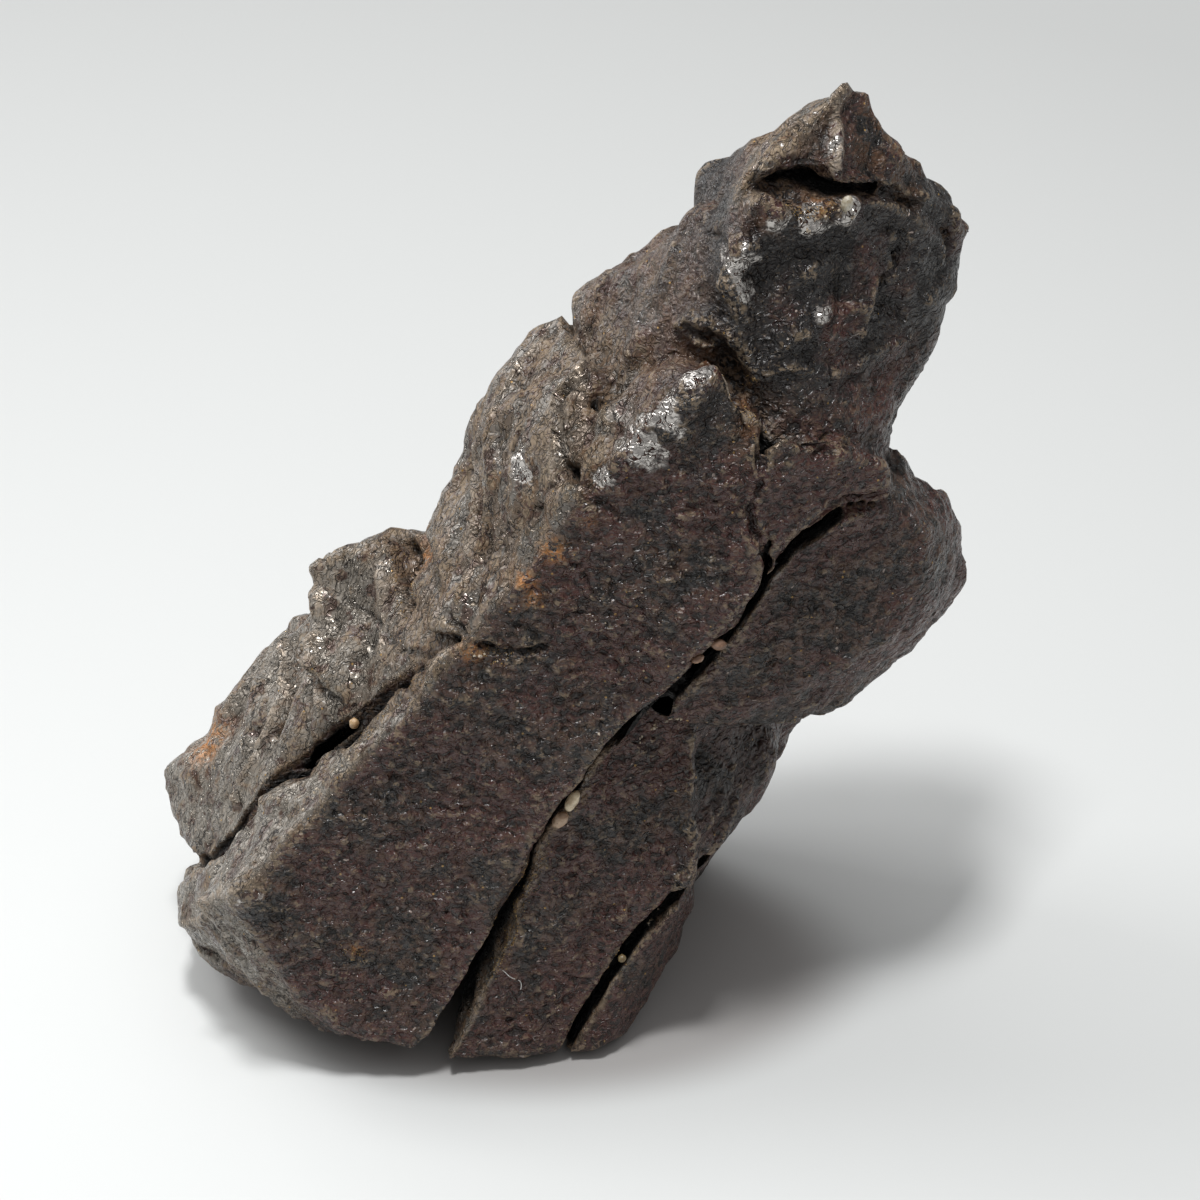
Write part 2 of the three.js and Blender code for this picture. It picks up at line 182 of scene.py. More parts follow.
def line_distance(points, route, facing=None):
    """How far each point is from a line through the stops of a route. With facing, the distance
    is above zero to the left of the line as it is walked on the skin, and below zero to the right."""
    stops = np.array(route, float)
    if len(stops) == 1:
        return np.linalg.norm(points - stops[0], axis=1)
    best = np.full(len(points), np.inf)
    side = np.ones(len(points))
    for start, end in zip(stops[:-1], stops[1:]):
        along = end - start
        share = np.clip((points - start) @ along / (along @ along), 0, 1)
        away = points - start - share[:, None] * along
        distance = np.linalg.norm(away, axis=1)
        closer = distance < best
        best[closer] = distance[closer]
        if facing is not None:
            left = np.cross(facing[closer], along)
            side[closer] = np.sign(np.einsum("ij,ij->i", away[closer], left))
    return best * side


# The open cracks, as in the solid.
OPEN_CRACKS = {
    "main": [(-8, -13.5, 0), (-5, -13, 6.5), (-3, -12.5, 10.5), (-0.5, -12, 17), (2, -11, 20.5),
             (3.5, -11, 23), (6, -11, 25.5), (8.5, -10, 27.5), (11.5, -9.5, 31.5), (12.5, -9, 33.5),
             (15.5, -7, 36), (19.5, -5, 35.5)],
    "small": [(-0.5, -12, 0), (1.5, -11.5, 2.5), (3, -11, 5.5), (5, -10, 8.5), (9, -8.5, 12.5)],
    "side": [(-21.5, -4, 9), (-20.5, -5, 10), (-18, -6.5, 14.5), (-16.5, -6.5, 17), (-13, -7, 20.5),
             (-10.5, -7.5, 22.5), (-7, -8, 26.5), (-5, -8.5, 29)],
    "cap": [(10, -3.5, 55), (14.5, -3.5, 55), (18, -1, 53.5), (21.5, 2.5, 50), (22.5, 3.5, 48)],
}
# Folds, lumps and dents: (route, half-width, height), below zero for a dent.
FOLDS = [
    # The nose, the recess beside it and the ledge above.
    ([(8, -8.5, 46)], 1.3, 0.9),
    ([(7.5, -9, 45), (6.5, -9, 43.5), (5, -9.5, 42), (4, -9.5, 41.5)], 1.0, 0.5),
    ([(9.6, -6.2, 45.9), (10, -6.3, 45.3), (10.5, -8, 44.6), (11, -9, 43.3)], 0.7, -0.9),
    ([(7.2, -6.2, 46.8), (8.2, -6.6, 46.9), (9.2, -6.7, 46.4)], 0.3, -0.6),
    ([(7.4, -5.6, 47.5), (8.4, -5.9, 47.7), (9.4, -6.3, 47.1), (9.8, -6.6, 46.4)], 0.25, -0.5),
    ([(6.8, -5, 47.6), (7.7, -5.3, 48.3), (8.8, -5.8, 48.3), (9.8, -6.2, 47.5)], 0.5, 0.8),
    ([(7.6, -5.8, 46.9), (8.8, -6.1, 47.1), (9.8, -6.5, 46.2)], 0.3, 0.5),
    ([(8.4, -6.6, 45.9), (9.5, -6.8, 45.4), (10.2, -7.6, 44.6)], 0.3, 0.45),
    # The upper block's brow and its lumps.
    ([(12, -4.5, 54.5), (11, -5, 53), (10, -5.5, 51.5), (9.5, -5.5, 50.5), (10, -6, 49.5),
      (10.5, -6.5, 47), (11, -6.5, 45.5)], 0.8, 0.6),
    ([(10.5, -5, 52.7)], 0.8, 0.55), ([(10.3, -5.6, 50.5)], 0.7, 0.5), ([(12.4, -4.5, 54.2)], 0.7, 0.5),
    ([(14.3, -4, 53.4)], 0.8, 0.6), ([(16.4, -2.8, 53.4)], 0.8, 0.6),
    ([(11.5, -5.5, 51), (13.5, -5, 51.8), (15.5, -3.8, 51.8), (17.5, -2, 51)], 0.9, -0.4),
    ([(15.5, -4.5, 48.5), (14.5, -5, 47.5), (13, -6, 47)], 0.7, 0.5),
    ([(17, -3, 46), (17.5, -2.5, 47.5), (18, -1.5, 49)], 0.6, 0.5),
    ([(12, -6.5, 45.5), (13.5, -6, 45.5), (16, -4, 44), (18.5, -2, 44), (20, 0, 43.5)], 0.5, 0.4),
    ([(13.5, -5.5, 49.5), (16, -4, 50)], 1.0, -0.35),
    # The cap: its front ridge, the mouth of its crack and the lumps on its right end.
    ([(16, 0.5, 59), (15.5, -0.5, 58), (15.5, -1.5, 57), (15.5, -3, 55.7)], 0.5, 0.5),
    ([(12.6, -3.6, 55.2), (14.8, -3.4, 55.2)], 0.85, -1.3),
    ([(20.5, 2, 51.7)], 0.5, 0.6), ([(22.5, 4.5, 49)], 0.9, 0.5), ([(23, 5, 47.5)], 0.8, 0.4),
    ([(22, 4, 49), (22.4, 3.8, 48), (22.5, 3.4, 47.2)], 0.4, -0.9),
    ([(18, 1.5, 56.5), (19, 1.5, 55), (20, 2.5, 53.5), (21, 3, 52)], 0.5, 0.3),
    # The flank: the plate's ridge, the streaks beside it and the folds of the left lobe.
    ([(-4, -1, 41), (-4, -2.5, 40), (-3.5, -4.5, 38), (-3.5, -5.5, 36), (-4, -6, 34), (-4.5, -7, 33),
      (-5, -8.5, 31.5)], 0.5, 0.55),
    ([(5, -3.5, 46), (4, -4, 43.5), (2.5, -7.5, 42.5), (1.5, -8.5, 40.5)], 0.8, 0.3),
    ([(1.2, -8, 39.9)], 0.6, -1.4),
    ([(-10.5, 1, 28.3), (-9.5, 0.5, 29)], 0.9, 0.5),
    ([(-8.6, 0.6, 29.2), (-8.6, -1, 29), (-9, -2.5, 28.5), (-8.5, -4, 28)], 0.45, -1.0),
    ([(-14, 3, 23.3), (-14.7, 2.5, 22), (-15.3, 1, 21), (-15.3, -1, 20.3), (-16.3, -3, 18.3)], 0.9, -0.8),
    ([(-12.7, 1.8, 26.6)], 0.8, 0.6), ([(-11, -3.5, 25.5), (-11.5, -5, 24.3)], 0.9, -0.4),
    ([(-12.3, -3, 25), (-12, -5, 23.8), (-12.3, -6.3, 22.3)], 0.5, 0.4),
    ([(-16.5, 4, 20), (-17.5, 1, 18), (-18, -1.5, 16.5), (-19, -3, 15)], 0.7, 0.45),
    ([(-15.5, 5, 21), (-17, 4, 19), (-18.5, 3, 17), (-19.5, 2.5, 15.5)], 0.6, -0.35),
    ([(-10, -9, 23.8), (-9.3, -9, 24.8), (-8.5, -8.8, 25.7)], 0.6, -0.9),
    ([(-15, -7, 17.8), (-14, -7.5, 18.8)], 0.6, -0.8),
    ([(-16.5, -7.5, 16.3), (-14.5, -10, 18.3), (-13, -10.5, 20.3), (-11, -10.5, 22.8)], 0.6, 0.4),
    # The main slab's left end.
    ([(-17.5, -12.5, 13.5)], 1.2, 0.5), ([(-19, -10.2, 12.5)], 0.9, 0.35),
    ([(-20, -7.5, 11.5), (-20, -10, 10.5), (-19, -10, 7.5), (-17.5, -10.5, 5), (-15.5, -10.5, 2)], 0.5, 0.3),
    # The middle slab's right edge, and the hollow beside it.
    ([(8, -8, 21.5), (8, -8.5, 19.5), (7.6, -8.7, 17), (8, -9, 14), (7.5, -9, 12), (7, -9, 10)], 0.5, 0.4),
    ([(9.5, -6.5, 19)], 1.2, -0.9),
    ([(10.5, -4, 15), (10, -5.5, 13.5), (9, -7, 12.8)], 0.5, 0.5),
    ([(10.8, -4.3, 17), (10, -6, 15.2), (9, -7.5, 14.8)], 0.5, 0.4),
    ([(7.3, -9, 10.8)], 0.7, -0.7), ([(12.6, -1.5, 15)], 1.7, 0.9), ([(12.2, -3.5, 14)], 1.2, 0.4),
    ([(8, -8.5, 19.3)], 0.6, 0.35), ([(7.9, -8.9, 15.4)], 0.6, 0.4), ([(7.3, -9, 12.3)], 0.6, 0.4),
    ([(13, -8.8, 34.6), (15, -7.8, 36.3), (16.5, -7, 37), (18.5, -6, 36.6)], 0.6, -0.8),
]
# Where the cracks gape: (start and end of the line, half-width, the way its far lip is pushed).
GAPES = [
    ((-6.5, -13, 3), (-3.2, -12.6, 10), 1.3, (0.60, 0.0, -0.26)),
    ((-2.8, -12.4, 11.5), (0.5, -11.7, 18), 1.0, (0.42, 0.0, -0.2)),
    ((-2.8, -12.4, 11.5), (1.2, -11.5, 19), 0.8, (-0.40, 0.1, 0.2)),
    ((0.3, -11.5, 18), (5.2, -10.5, 23.6), 1.2, (0.6, 0.0, -1.15)),
    ((-21.2, -4.3, 9.3), (-17.5, -6.4, 15), 0.9, (0.1, 0.65, 0.05)),
    ((-18.5, -6.3, 13.8), (-13, -7, 20.5), 0.9, (0.03, 0.42, 0.07)),
    ((-13, -7, 20.5), (-9, -7.8, 24.2), 0.8, (0.03, 0.35, 0.06)),
]
# Plate edges: (route, height), raised on the left of the route as it is walked on the skin.
PLATE_EDGES = [
    ([(1, -8, 39.7), (0.5, -7.5, 40), (0.5, -5.5, 41.5), (0.5, -4, 42.5), (2, -4, 43.7), (2, -3.5, 44),
      (1.5, 0, 43), (1, 2, 42.5)], 0.65),
    ([(-12, 2, 27), (-13.2, 1.5, 25), (-13.5, 1.5, 23), (-14, -1, 22.5), (-13.5, -3.5, 22.8)], 1.1),
]
# Hair cracks: (route, half-width, depth).
HAIR_CRACKS = [
    ([(-7.5, 0.5, 30.5), (-6.5, -4.5, 31.5), (-6, -6, 30.3), (-5.7, -8.5, 30.5), (-5, -10, 30.5),
      (-4, -10.5, 30), (-2.5, -10.5, 29.5), (-1.5, -10.5, 29.5), (-0.3, -10.5, 29.8)], 0.3, 0.6),
    ([(-6, -9, 29.8), (-7, -8.6, 28.2), (-8, -8, 26.5), (-8.7, -8.6, 25.5), (-10.5, -8.2, 23)], 0.3, 0.45),
    ([(19.5, 0, 49.5), (19.5, -0.5, 48.5), (19, -1, 48), (18, -2, 47.5)], 0.35, 0.7),
    ([(8, -0.5, 51.5), (8.5, -2.5, 52), (9, -3.5, 52.5)], 0.25, 0.4),
    ([(-9, -11.5, 21.5), (-10, -11.5, 20)], 0.25, 0.3),
    ([(-21.5, -4, 9), (-20.5, -5, 10), (-18, -6.5, 14.5), (-16.5, -6.5, 17), (-15, -6.8, 18.5)], 0.4, 0.9),
    ([(1.5, -8, 40), (0.5, -8, 39), (-0.5, -8, 37.5), (-2, -7.5, 36)], 0.3, 0.6),
    ([(-2, 0, 41), (-1.5, -1.5, 41.5), (-1.5, -3.5, 41.5), (-1.5, -4.5, 40.5), (-2, -5, 39.5)], 0.2, 0.25),
    ([(16, -3, 55), (17.5, -1.5, 54.5), (19, 0, 53), (20, 1.5, 51.5)], 0.35, 0.7),
    ([(11.5, -9, 42), (11.5, -9.5, 40), (11, -9.5, 38), (11.5, -9.5, 36), (12, -8.5, 34)], 0.35, 0.7),
    ([(12.5, -8, 42.3), (13.5, -8, 42), (15, -7.5, 41.5), (16.5, -7, 41.3), (18, -6.5, 41.1),
      (19.5, -5, 40.8)], 0.35, 0.7),
    ([(-22.5, -3, 4), (-22, -5.5, 4), (-20, -7.5, 3.8), (-18, -9, 3)], 0.3, 0.5),
    ([(-12.5, 0, 26), (-10.5, -3, 26.5), (-9, -6, 26.5), (-6.5, -8.5, 27.5)], 0.3, 0.25),
]

# Sharp worn crests: (route, height).
CRESTS = [
    ([(-12.5, 1.5, 26.3), (-13, 1, 25.5), (-13, -0.5, 24.5), (-13.5, -2, 23.5), (-13.5, -4, 22),
      (-13, -5, 21.5)], 0.6),
    ([(1.5, 1, 42.7), (2, -0.5, 43), (2, -3, 44), (1.5, -4, 43), (0.5, -4.5, 42.5), (0.5, -5, 42),
      (0.5, -6.5, 41), (0.5, -8, 39.5)], 0.3),
    ([(9.5, -7, 45.5), (10, -7.5, 45), (11, -8.5, 44.2), (11.6, -7.2, 42.5), (12, -7.5, 41.5)], 0.3),
    ([(-16, 3, 20.5), (-16, 1, 20), (-16, -1, 19.5), (-17, -2.5, 18), (-18, -3.5, 16.5), (-19, -4, 14)], 0.5),
    ([(-0.5, 1.5, 42), (-3, -1, 40.5), (-4.2, -0.8, 38), (-4.8, -0.8, 36), (-4.5, -3.5, 35), (-5, -6, 33)],
     0.45),
    ([(-22, -5.5, 6), (-21, -8, 8), (-20, -9.5, 10.5), (-18, -12.2, 13.5)], 0.3),
    ([(-20, -9.5, 10.5), (-19.5, -10, 9), (-19, -9.5, 6), (-17.5, -10.2, 4.5)], 0.3),
    ([(15.8, 0.5, 59), (15.5, -0.5, 58), (15.5, -1.5, 57), (15.5, -3, 55.7)], 0.3),
    ([(-10, -0.5, 28.2), (-10.3, -3, 27), (-10, -4.5, 26), (-10.5, -6, 25)], 0.35),
]

# Balls that fill two sharp gaps between the solid's blocks: (place, radius).
PLUGS = [((2.5, -3.3, 42.4), 1.3), ((8.7, -5.3, 46.8), 1.0)]

stone = voxel_copy(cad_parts["stone"], "weathered_stone", VOXEL, PLUGS)
skin = stone.data
edges = edges_of(skin)
raw = points_of(skin)
crack_distance = np.min([line_distance(raw, route) for route in OPEN_CRACKS.values()], axis=0)
# A band along the side crack that is painted with shade.
side_crack_shade = np.exp(-(line_distance(raw, OPEN_CRACKS["side"]) / SIDE_CRACK_WIDTH) ** 2)
worn_share = np.clip((crack_distance - 0.6) / 1.5, 0.15, 1)[:, None]
points = raw + worn_share * (relaxed(raw, edges, EDGE_WEAR_ROUNDS) - raw)
points = relaxed(points, edges, 2)
write_points(skin, points)
facing = relaxed(normals_of(skin), edges, FACING_ROUNDS)
facing /= np.linalg.norm(facing, axis=1, keepdims=True)

# Which part of the skin is the pale flank, and which the rough upper end or the back. Calm and
# plain are low beside the open cracks, and plain is low on sharp corners too.
FLANK_OUTWARD = np.array((-0.73, -0.08, 0.69))
calm = np.clip(crack_distance / 1.5, 0.4, 1)
corner = np.einsum("ij,ij->i", points - relaxed(points, edges, BROAD_ROUNDS), facing)
plain = np.clip(crack_distance / 1.4, 0.2, 1) * (1 - 0.8 * np.clip(corner / 0.08, 0, 1))
left_end = np.clip(-facing[:, 0] * 5 - 2.2, 0, 1) * np.clip(-points[:, 0] / 4 - 2, 0, 1)
flank = np.maximum(left_end, np.clip(facing @ FLANK_OUTWARD * 3.5 - 1.4, 0, 1))
upper = np.clip((points[:, 2] - 42) / 3, 0, 1) * np.clip((points[:, 0] - 6) / 3, 0, 1)
back = np.clip(facing[:, 1] * 2 + 0.3, 0, 1)
under = np.clip(-facing[:, 2] * 2 - 0.2, 0, 1)
rough = np.maximum.reduce([0.9 * upper, 0.55 * back, 0.5 * under, 0.5 * flank])

drift = noise_vectors(points, 2.4, 11)
fine_drift = noise_vectors(points, 0.9, 21)
bent = points + 0.5 * drift + 0.2 * fine_drift
# The flank's folds all run down it one way, so its noise is drawn out along them.
FOLD_WAY = np.array((-0.36, -0.58, -0.73))
drawn_out = bent - 0.62 * (bent @ FOLD_WAY)[:, None] * FOLD_WAY

# How far the skin moves out: swells and facets, or folds on the flank, then pits and grain.
height = 0.4 * smooth_noise(points, 9, 1) * calm
facets = (0.10 + 0.32 * rough) * smooth_noise(bent, 3.4, 2)
facets += (0.05 + 0.22 * rough) * smooth_noise(bent, 1.7, 3)
facets += 0.35 * rough * ledges(smooth_noise(bent, 4.5, 4), 0.55)
facets -= (0.05 + 0.3 * rough) * np.clip(0.22 - np.abs(smooth_noise(bent, 3.0, 5)), 0, 1) * 2
folds = 0.45 * smooth_noise(drawn_out, 2.8, 2) + 0.08 * smooth_noise(drawn_out, 1.2, 3)
folds += 0.42 * ledges(smooth_noise(drawn_out, 3.4, 4), 0.5)
folds += 0.40 * np.clip(0.22 - np.abs(smooth_noise(drawn_out, 2.4, 5)), 0, 1)
height += (facets + flank * (folds - facets)) * calm
pitted = (1 - 0.85 * flank - 0.4 * upper) * plain * (1 - np.clip(facing[:, 0] * 1.5 - 0.4, 0, 0.4))
height += 0.34 * pitted * (pit_noise(bent * (1, 1, 1.4), 1.0, 6) - 0.3)
height += 0.15 * pitted * (pit_noise((points + 0.25 * fine_drift) * (1, 1, 1.3), 0.6, 7) - 0.3)
height -= 0.48 * pitted * np.clip(0.3 - np.abs(smooth_noise(bent * (1, 1, 1.5), 1.3, 10)), 0, 1)
height += 0.05 * smooth_noise(points, 0.8, 8)
height += 0.03 * smooth_noise(points, 0.45, 9)

# The drawn lines wander a little.
wandered = points + 0.22 * fine_drift + 0.15 * drift
for route, half_width, rise in FOLDS:
    height += rise * np.exp(-(line_distance(wandered, route) / half_width) ** 2)
crest = np.zeros(len(points))
for route, rise in CRESTS:
    line = np.exp(-(line_distance(wandered, route) / CREST_WIDTH) ** 2)
    height += rise * line
    crest = np.maximum(crest, line)
for start, end, half_width, push in GAPES:
    beyond = np.clip((points - start) @ push / np.linalg.norm(push) / LIP_BLEND + 0.5, 0, 1)
    share = beyond * np.exp(-(line_distance(points, [start, end]) / half_width) ** 2)
    points = points + share[:, None] * push
for route, rise in PLATE_EDGES:
    side = line_distance(wandered, route, facing)
    raised, cut = np.exp(-(side / PLATE_SLOPE) ** 2), -0.4 * np.exp(-(side / PLATE_FOOT) ** 2)
    height += rise * np.where(side > 0, raised, cut)
hair = np.zeros(len(points))
for route, half_width, depth in HAIR_CRACKS:
    line = np.clip(1 - line_distance(wandered, route) / half_width, 0, 1)
    height -= depth * line
    hair = np.maximum(hair, line)

moved = points + (0.2 * calm + 0.5 * back)[:, None] * drift + facing * height[:, None]
moved[:, 2] = np.maximum(moved[:, 2], 0)
on_ground = points[:, 2] < GROUND_BAND
moved[on_ground] = points[on_ground]
write_points(skin, moved)


def store(mesh, name, values):
    layer = mesh.attributes.new(name, "FLOAT", "POINT")
    layer.data.foreach_set("value", np.clip(values, 0, 1).astype(np.float32))


def spots(points, places):
    return np.max([np.exp(-(np.linalg.norm(points - place[:3], axis=1) / place[3]) ** 2)
                   for place in places], axis=0)


def skin_tree(mesh):
    """The mesh's skin in millimetres, for finding the nearest place on it or where a ray meets it."""
    return BVHTree.FromPolygons(points_of(mesh).tolist(), [list(face.vertices) for face in mesh.polygons])


def shelter(mesh, points, edges, reach, rays):
    """How shut in each point is, from 0 in the open to 1 deep in a crack."""
    tree = skin_tree(mesh)
    ways = np.random.default_rng(3).normal(size=(rays, 3))
    ways /= np.linalg.norm(ways, axis=1, keepdims=True)
    out = normals_of(mesh)
    hits = np.zeros(len(points))
    for way in ways:
        aims = out + SHELTER_SPREAD * way
        aims /= np.linalg.norm(aims, axis=1, keepdims=True)
        starts = points + out * SHELTER_LIFT
        hits += [tree.ray_cast(Vector(a), Vector(b), reach)[0] is not None
                 for a, b in zip(starts.tolist(), aims.tolist())]
    return relaxed(hits / rays, edges, 3)


# Where the crust is stained, glossy with a painted highlight, brown, or painted with shade in the hollow
# beside the middle slab and under the right lobe: (x, y, z, radius).
RUST_SPOTS = [(-21, 2, 13.7, 1.4), (-8, -1, 29.5, 1.0), (-7.5, -1, 30, 0.9), (-4.5, -10.5, 29.5, 0.6),
              (0, -10, 36, 0.7), (-1.5, -10, 34, 0.55), (2, -9.5, 38, 0.5), (-1, -10.5, 33, 0.5),
              (14.6, -3.3, 54.6, 0.7), (-11.5, -12.5, 9.5, 0.35), (10.7, -7, 44.3, 0.5)]
GLOSS_SPOTS = [(8, -8.6, 46.5, 1.0), (7.3, -8.8, 45.4, 0.9),
               (6.3, -9, 44, 1.3), (5, -9.3, 42.5, 1.3), (10.5, -5.2, 52, 1.1), (12.5, -4.6, 54, 0.8),
               (14.3, -4, 53.5, 1.0), (16.4, -2.8, 53.4, 0.9), (15.5, -2, 57, 0.5), (-1.5, -6.3, 39, 1.0),
               (-3, -4.5, 38, 0.8), (2.8, -9.3, 40.5, 0.7), (15, -4.6, 48, 0.5), (-17.5, -12.5, 13.5, 0.8),
               (10.5, -5.7, 50.3, 0.8)]
BROWN_SPOTS = [(18.5, 1, 55.5, 2.2), (20, 2, 53.5, 1.8), (8.5, -5.8, 46.5, 1.5), (11, -8, 43, 1.4),
               (10, -3.5, 49, 1.5), (12, -4.2, 54, 1.0), (-17, -12, 13.5, 1.2), (6, -6.5, 44, 1.6)]
SHADE_SPOTS = [(10.3, -6.5, 18.4, 2.6), (12, -3.5, 17, 3.0), (10.5, -6, 15.5, 2.2), (13, -6, 21, 2.2)]

out = normals_of(skin)
fine_bulge = np.einsum("ij,ij->i", moved - relaxed(moved, edges, FINE_ROUNDS), out)
broad_bulge = np.einsum("ij,ij->i", moved - relaxed(moved, edges, BROAD_ROUNDS), out)
store(skin, "edge", (broad_bulge - 0.08) * 3 + fine_bulge * 6)
# hollow: where the dents, deep folds and hair cracks get painted shade.
store(skin, "hollow", (-broad_bulge - 0.1) * 2 - fine_bulge * 5 + 0.9 * hair)
dusky = np.clip(points[:, 2] / 3 - 14.3, 0, 1) * np.clip((55.5 - points[:, 2]) / 1.5, 0, 1)
store(skin, "flank", flank * (1 - 0.6 * dusky))
# The left end is painted lighter, standing in for the light that falls on its left-facing facets.
store(skin, "left_painted_light", left_end)
# Painted shade: the front of the foot near the ground, and the hollow and underside of the right lobe, are
# painted near black through the under attribute.
contact_shade = np.clip(1.6 - points[:, 2], 0, 1) * np.clip(-facing[:, 1], 0, 1)
store(skin, "under", np.maximum(contact_shade, spots(moved, SHADE_SPOTS)))
store(skin, "crest", crest)
store(skin, "side_crack_shade", side_crack_shade)
store(skin, "rust", spots(moved, RUST_SPOTS))
store(skin, "gloss", spots(moved, GLOSS_SPOTS))
store(skin, "brown", spots(moved, BROWN_SPOTS))
store(skin, "upper", upper * np.clip((54.5 - points[:, 2]) / 1.5, 0, 1))

thin = stone.modifiers.new("thin", "DECIMATE")
thin.ratio = TRIANGLE_LIMIT / (2 * len(skin.polygons))
bake_modifiers(stone)
skin = stone.data
# The hollow beside the nose stays brown inside, so it counts as half open and gets less painted shade.
thinned = points_of(skin)
half_open = 0.75 * spots(thinned, [(8.7, -6, 46.4, 2.3)])
shut_share = shelter(skin, thinned, edges_of(skin), SHELTER_REACH, SHELTER_RAYS)
store(skin, "shut_in", shut_share * (1 - half_open))

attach(stone, "root")
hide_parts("stone")
skin.polygons.foreach_set("use_smooth", [True] * len(skin.polygons))


class Nodes:
    """Short calls for laying out the nodes of one material or node group."""

    def __init__(self, tree):
        self.tree = tree

    def add(self, kind, inputs=(), **settings):
        node = self.tree.nodes.new(kind)
        for name, value in settings.items():
            setattr(node, name, value)
        for socket, value in dict(inputs).items():
            if isinstance(value, bpy.types.NodeSocket):
                self.tree.links.new(value, node.inputs[socket])
            else:
                node.inputs[socket].default_value = value
        return node

    def attribute(self, name):
        return self.add("ShaderNodeAttribute", attribute_name=name).outputs["Fac"]

    def noise(self, place, per_mm, detail, roughness=0.55):
        return self.add("ShaderNodeTexNoise", {
            "Vector": place, "Scale": per_mm, "Detail": detail,
            "Roughness": roughness}).outputs["Fac"]

    def math(self, operation, a, b=0):
        return self.add("ShaderNodeMath", {0: a, 1: b}, operation=operation).outputs[0]

    def total(self, *terms):
        """The sum of each value times its share."""
        whole = None
        for value, share in terms:
            part = self.math("MULTIPLY", value, share)
            whole = part if whole is None else self.math("ADD", whole, part)
        return whole

    def number(self, share, a, b):
        """The value a where share is 0, b where it is 1."""
        return self.add("ShaderNodeMix", {0: share, 2: a, 3: b}, data_type="FLOAT").outputs[0]

    def crests(self, place, per_mm, detail, width):
        """Thin winding crests: 1 along each crest, 0 between them."""
        away = self.math("ABSOLUTE", self.math("SUBTRACT", self.noise(place, per_mm, detail), 0.5))
        return self.range(away, width, 0)

    def range(self, value, low, high, to_low=0, to_high=1):
        return self.add("ShaderNodeMapRange", {
            "Value": value, "From Min": low, "From Max": high, "To Min": to_low,
            "To Max": to_high}, interpolation_type="SMOOTHSTEP").outputs["Result"]

    def mix(self, share, a, b):
        """The colour a where share is 0, b where it is 1."""
        node = self.add("ShaderNodeMix", data_type="RGBA")
        for socket, value in ((0, share), (6, a), (7, b)):
            if isinstance(value, bpy.types.NodeSocket):
                self.tree.links.new(value, node.inputs[socket])
            else:
                node.inputs[socket].default_value = value if socket == 0 else (*value, 1)
        return node.outputs[2]


def new_material(name):
    """A new material, with its nodes and its shader."""
    material = bpy.data.materials.new(name)
    material.use_nodes = True
    return material, Nodes(material.node_tree), material.node_tree.nodes["Principled BSDF"]


def millimetres(nodes):
    """The place on the piece, in millimetres."""
    place = nodes.add("ShaderNodeTexCoord").outputs["Object"]
    return nodes.add("ShaderNodeVectorMath", {0: place, "Scale": 1 / MM},
                     operation="SCALE").outputs[0]


def speck_group():
    """Scattered round specks, one in the given share of the cells."""
    group = bpy.data.node_groups.new("specks", "ShaderNodeTree")
    for name, kind in (("Place", "Vector"), ("Per mm", "Float"), ("Share", "Float"), ("Size", "Float")):
        group.interface.new_socket(name, in_out="INPUT", socket_type="NodeSocket" + kind)
    group.interface.new_socket("Mask", in_out="OUTPUT", socket_type="NodeSocketFloat")
    nodes = Nodes(group)
    given = nodes.add("NodeGroupInput").outputs
    cells = nodes.add("ShaderNodeTexVoronoi", {"Vector": given["Place"], "Scale": given["Per mm"]})
    chance = nodes.add("ShaderNodeSeparateColor", {"Color": cells.outputs["Color"]}).outputs["Red"]
    chosen = nodes.math("LESS_THAN", chance, given["Share"])
    inner = nodes.math("MULTIPLY", given["Size"], 0.6)
    dot = nodes.range(cells.outputs["Distance"], given["Size"], inner)
    nodes.add("NodeGroupOutput", {"Mask": nodes.math("MULTIPLY", dot, chosen)})
    return group


SPECKS = speck_group()


def specks(nodes, place, per_mm, share, size):
    inputs = {"Place": place, "Per mm": per_mm, "Share": share, "Size": size}
    return nodes.add("ShaderNodeGroup", inputs, node_tree=SPECKS).outputs["Mask"]


BLACK_CRUST = (0.017, 0.014, 0.014)
UMBER = (0.074, 0.040, 0.030)
MAROON = (0.078, 0.028, 0.024)
GREY_VARNISH = (0.185, 0.168, 0.148)
BROWN_VARNISH = (0.150, 0.092, 0.053)
WORN_TAN = (0.27, 0.20, 0.13)
RUST = (0.52, 0.21, 0.05)
OCHRE = (0.40, 0.24, 0.08)
BROWN_CRUST = (0.10, 0.048, 0.022)
PAINTED_HIGHLIGHT_SILVER = (0.54, 0.51, 0.48)
LEFT_END_PAINTED_LIGHT = (0.25, 0.222, 0.187)
WORN_PALE = (0.36, 0.30, 0.24)
PAINTED_GLINT = (0.42, 0.34, 0.30)
# Near black that paints shade in the dimples, pits, dents, cracks and along the foot.
PAINTED_SHADE_BLACK = (0.005, 0.004, 0.003)

crust, nodes, skin_shader = new_material("crust")
place = millimetres(nodes)
edge, hollow = nodes.attribute("edge"), nodes.attribute("hollow")
flank_side = nodes.attribute("flank")
# Painted shade: how shut in the skin is, together with the side crack's band.
shut_in = nodes.math("MAXIMUM", nodes.attribute("shut_in"),
                     nodes.math("MULTIPLY", nodes.attribute("side_crack_shade"), 0.85))
rusty, glossy, crest_line = [nodes.attribute(name) for name in ("rust", "gloss", "crest")]
upper_end, browned, painted_shade_under = [nodes.attribute(name) for name in ("upper", "brown", "under")]
left_painted_light = nodes.attribute("left_painted_light")
broad = nodes.noise(place, 0.22, 2)
patchy = nodes.noise(place, 0.9, 3, 0.6)
grainy = nodes.noise(place, 3.0, 2, 0.6)
dusty = nodes.noise(place, 6.0, 2, 0.7)

